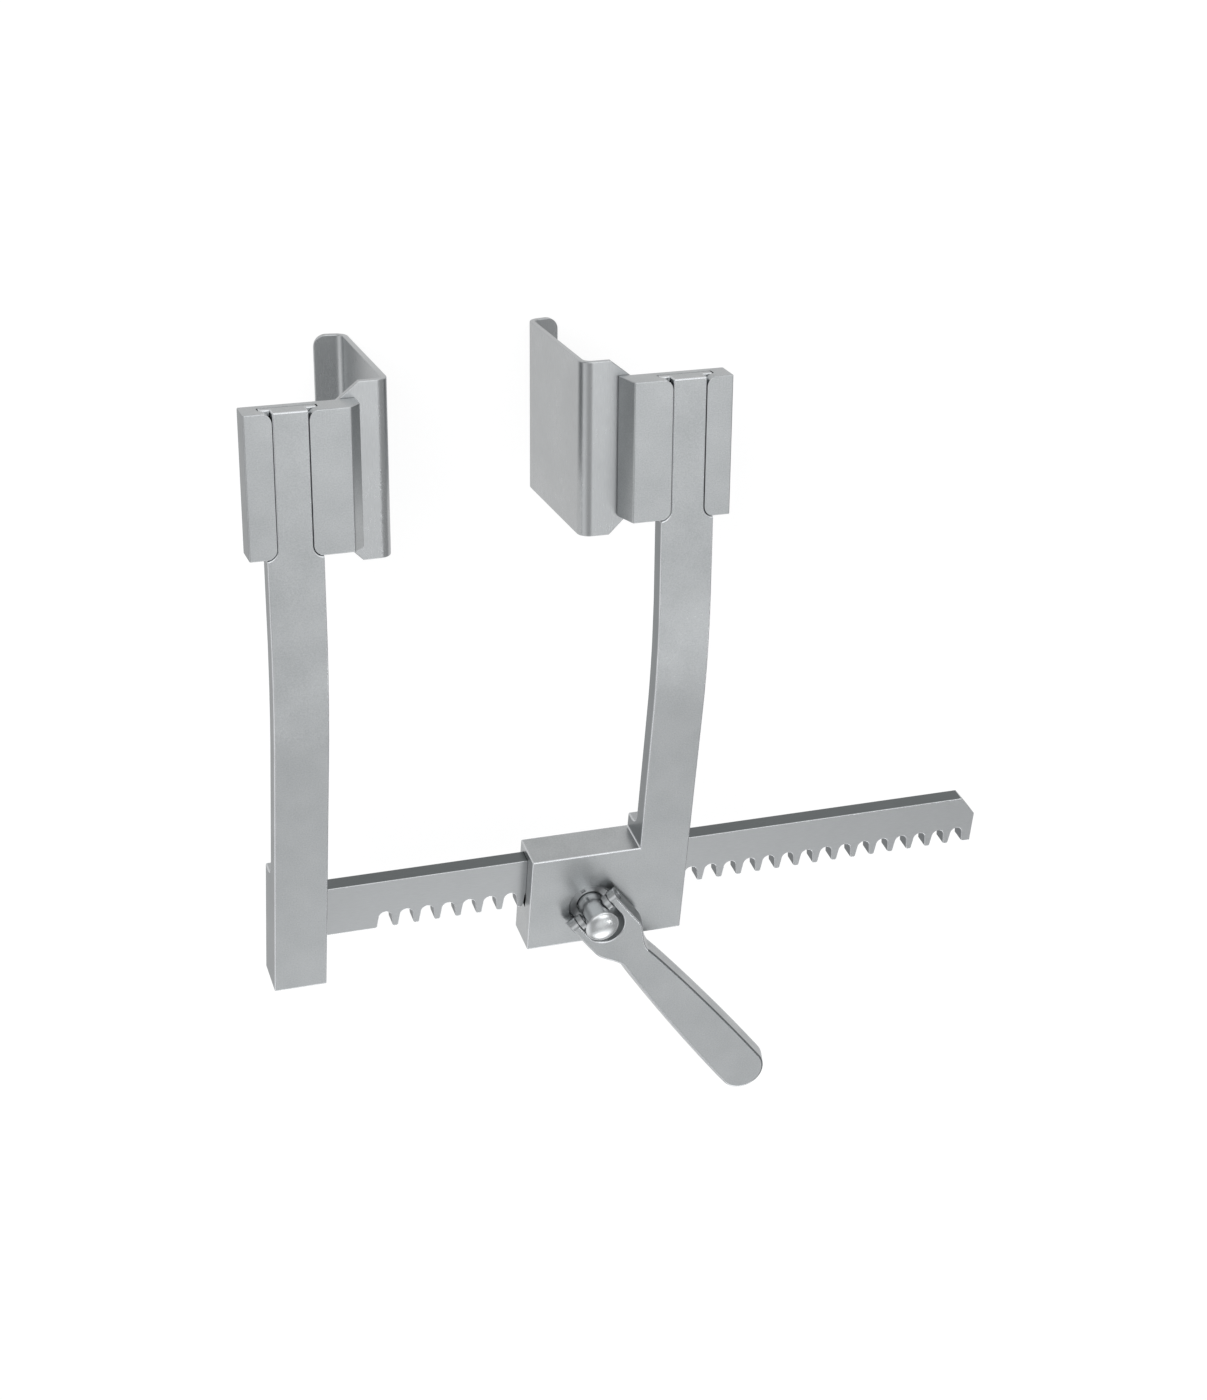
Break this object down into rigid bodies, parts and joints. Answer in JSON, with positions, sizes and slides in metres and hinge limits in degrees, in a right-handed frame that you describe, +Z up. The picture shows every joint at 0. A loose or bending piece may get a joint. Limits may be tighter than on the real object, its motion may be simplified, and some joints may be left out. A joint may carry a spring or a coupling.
{
  "type": "rib spreader",
  "caption": "Rib spreader: crank-driven sliding arm on a toothed bar, fixed arm, and lift-off hooked blades on both arms, in satin stainless steel.",
  "frame": {"origin": "centre of the whole object's bounding box in plan, at its lowest point, the ends of the blades", "axes": "+X along the toothed bar from the fixed arm to the bar's free end, +Y along the arms from the bar to the blades, +Z up to the side of the arms with the crank"},
  "size_m": [0.2818, 0.2964, 0.1079],
  "materials": {
    "fixed_arm_steel": "satin",
    "rack_bar_steel": "satin",
    "screw_steel": "turned",
    "sliding_arm_steel": "satin",
    "crank_spindle_steel": "polished",
    "drive_pin_steel": "ground",
    "rear_cheek_steel": "turned",
    "spindle_bush_steel": "turned",
    "lever_steel": "satin",
    "lever_pin_steel": "ground",
    "lever_spacer_steel": "turned",
    "holder_steel": "satin",
    "blade_steel": "satin"
  },
  "bodies": {
    "base": {"fixed_arm": "fixed_arm_steel", "rack_bar": "rack_bar_steel", "rack_screw_low": "screw_steel", "rack_screw_high": "screw_steel"},
    "carriage": {"sliding_arm": "sliding_arm_steel", "spindle_bush": "spindle_bush_steel"},
    "crank": {"crank_spindle": "crank_spindle_steel", "drive_pin_a": "drive_pin_steel", "drive_pin_b": "drive_pin_steel", "rear_cheek": "rear_cheek_steel", "lever_pin": "lever_pin_steel", "lever_spacer_a": "lever_spacer_steel", "lever_spacer_b": "lever_spacer_steel"},
    "lever": {"lever": "lever_steel"},
    "left_blade": {"blade_holder_left": "holder_steel", "blade_left": "blade_steel", "blade_screw_left_low": "screw_steel", "blade_screw_left_high": "screw_steel"},
    "right_blade": {"blade_holder_right": "holder_steel", "blade_right": "blade_steel", "blade_screw_right_low": "screw_steel", "blade_screw_right_high": "screw_steel"}
  },
  "joints": [
    {"name": "arm_slide", "type": "slide", "parent": "base", "child": "carriage", "axis": [1, 0, 0], "range_m": [-0.0651, 0.1212]},
    {"name": "crank_turn", "type": "hinge", "parent": "carriage", "child": "crank", "pos_m": [-0.01674, -0.05802, 0.09113], "axis": [0, 0, 1], "range_deg": [-1491.9, 2777.6]},
    {"name": "lever_fold", "type": "hinge", "parent": "crank", "child": "lever", "pos_m": [-0.01674, -0.05802, 0.09573], "axis": [-0.7891, -0.6143, 0], "range_deg": [-4.8, 175.2]},
    {"name": "left_blade_lift", "type": "slide", "parent": "base", "child": "left_blade", "axis": [0, 0.9823, -0.1874], "range_m": [0, 0.05]},
    {"name": "right_blade_lift", "type": "slide", "parent": "carriage", "child": "right_blade", "axis": [0, 0.9823, -0.1874], "range_m": [0, 0.05]}
  ],
  "couplings": [
    {"joint": "arm_slide", "follows": "crank_turn", "m_per_rad": 0.0025}
  ]
}
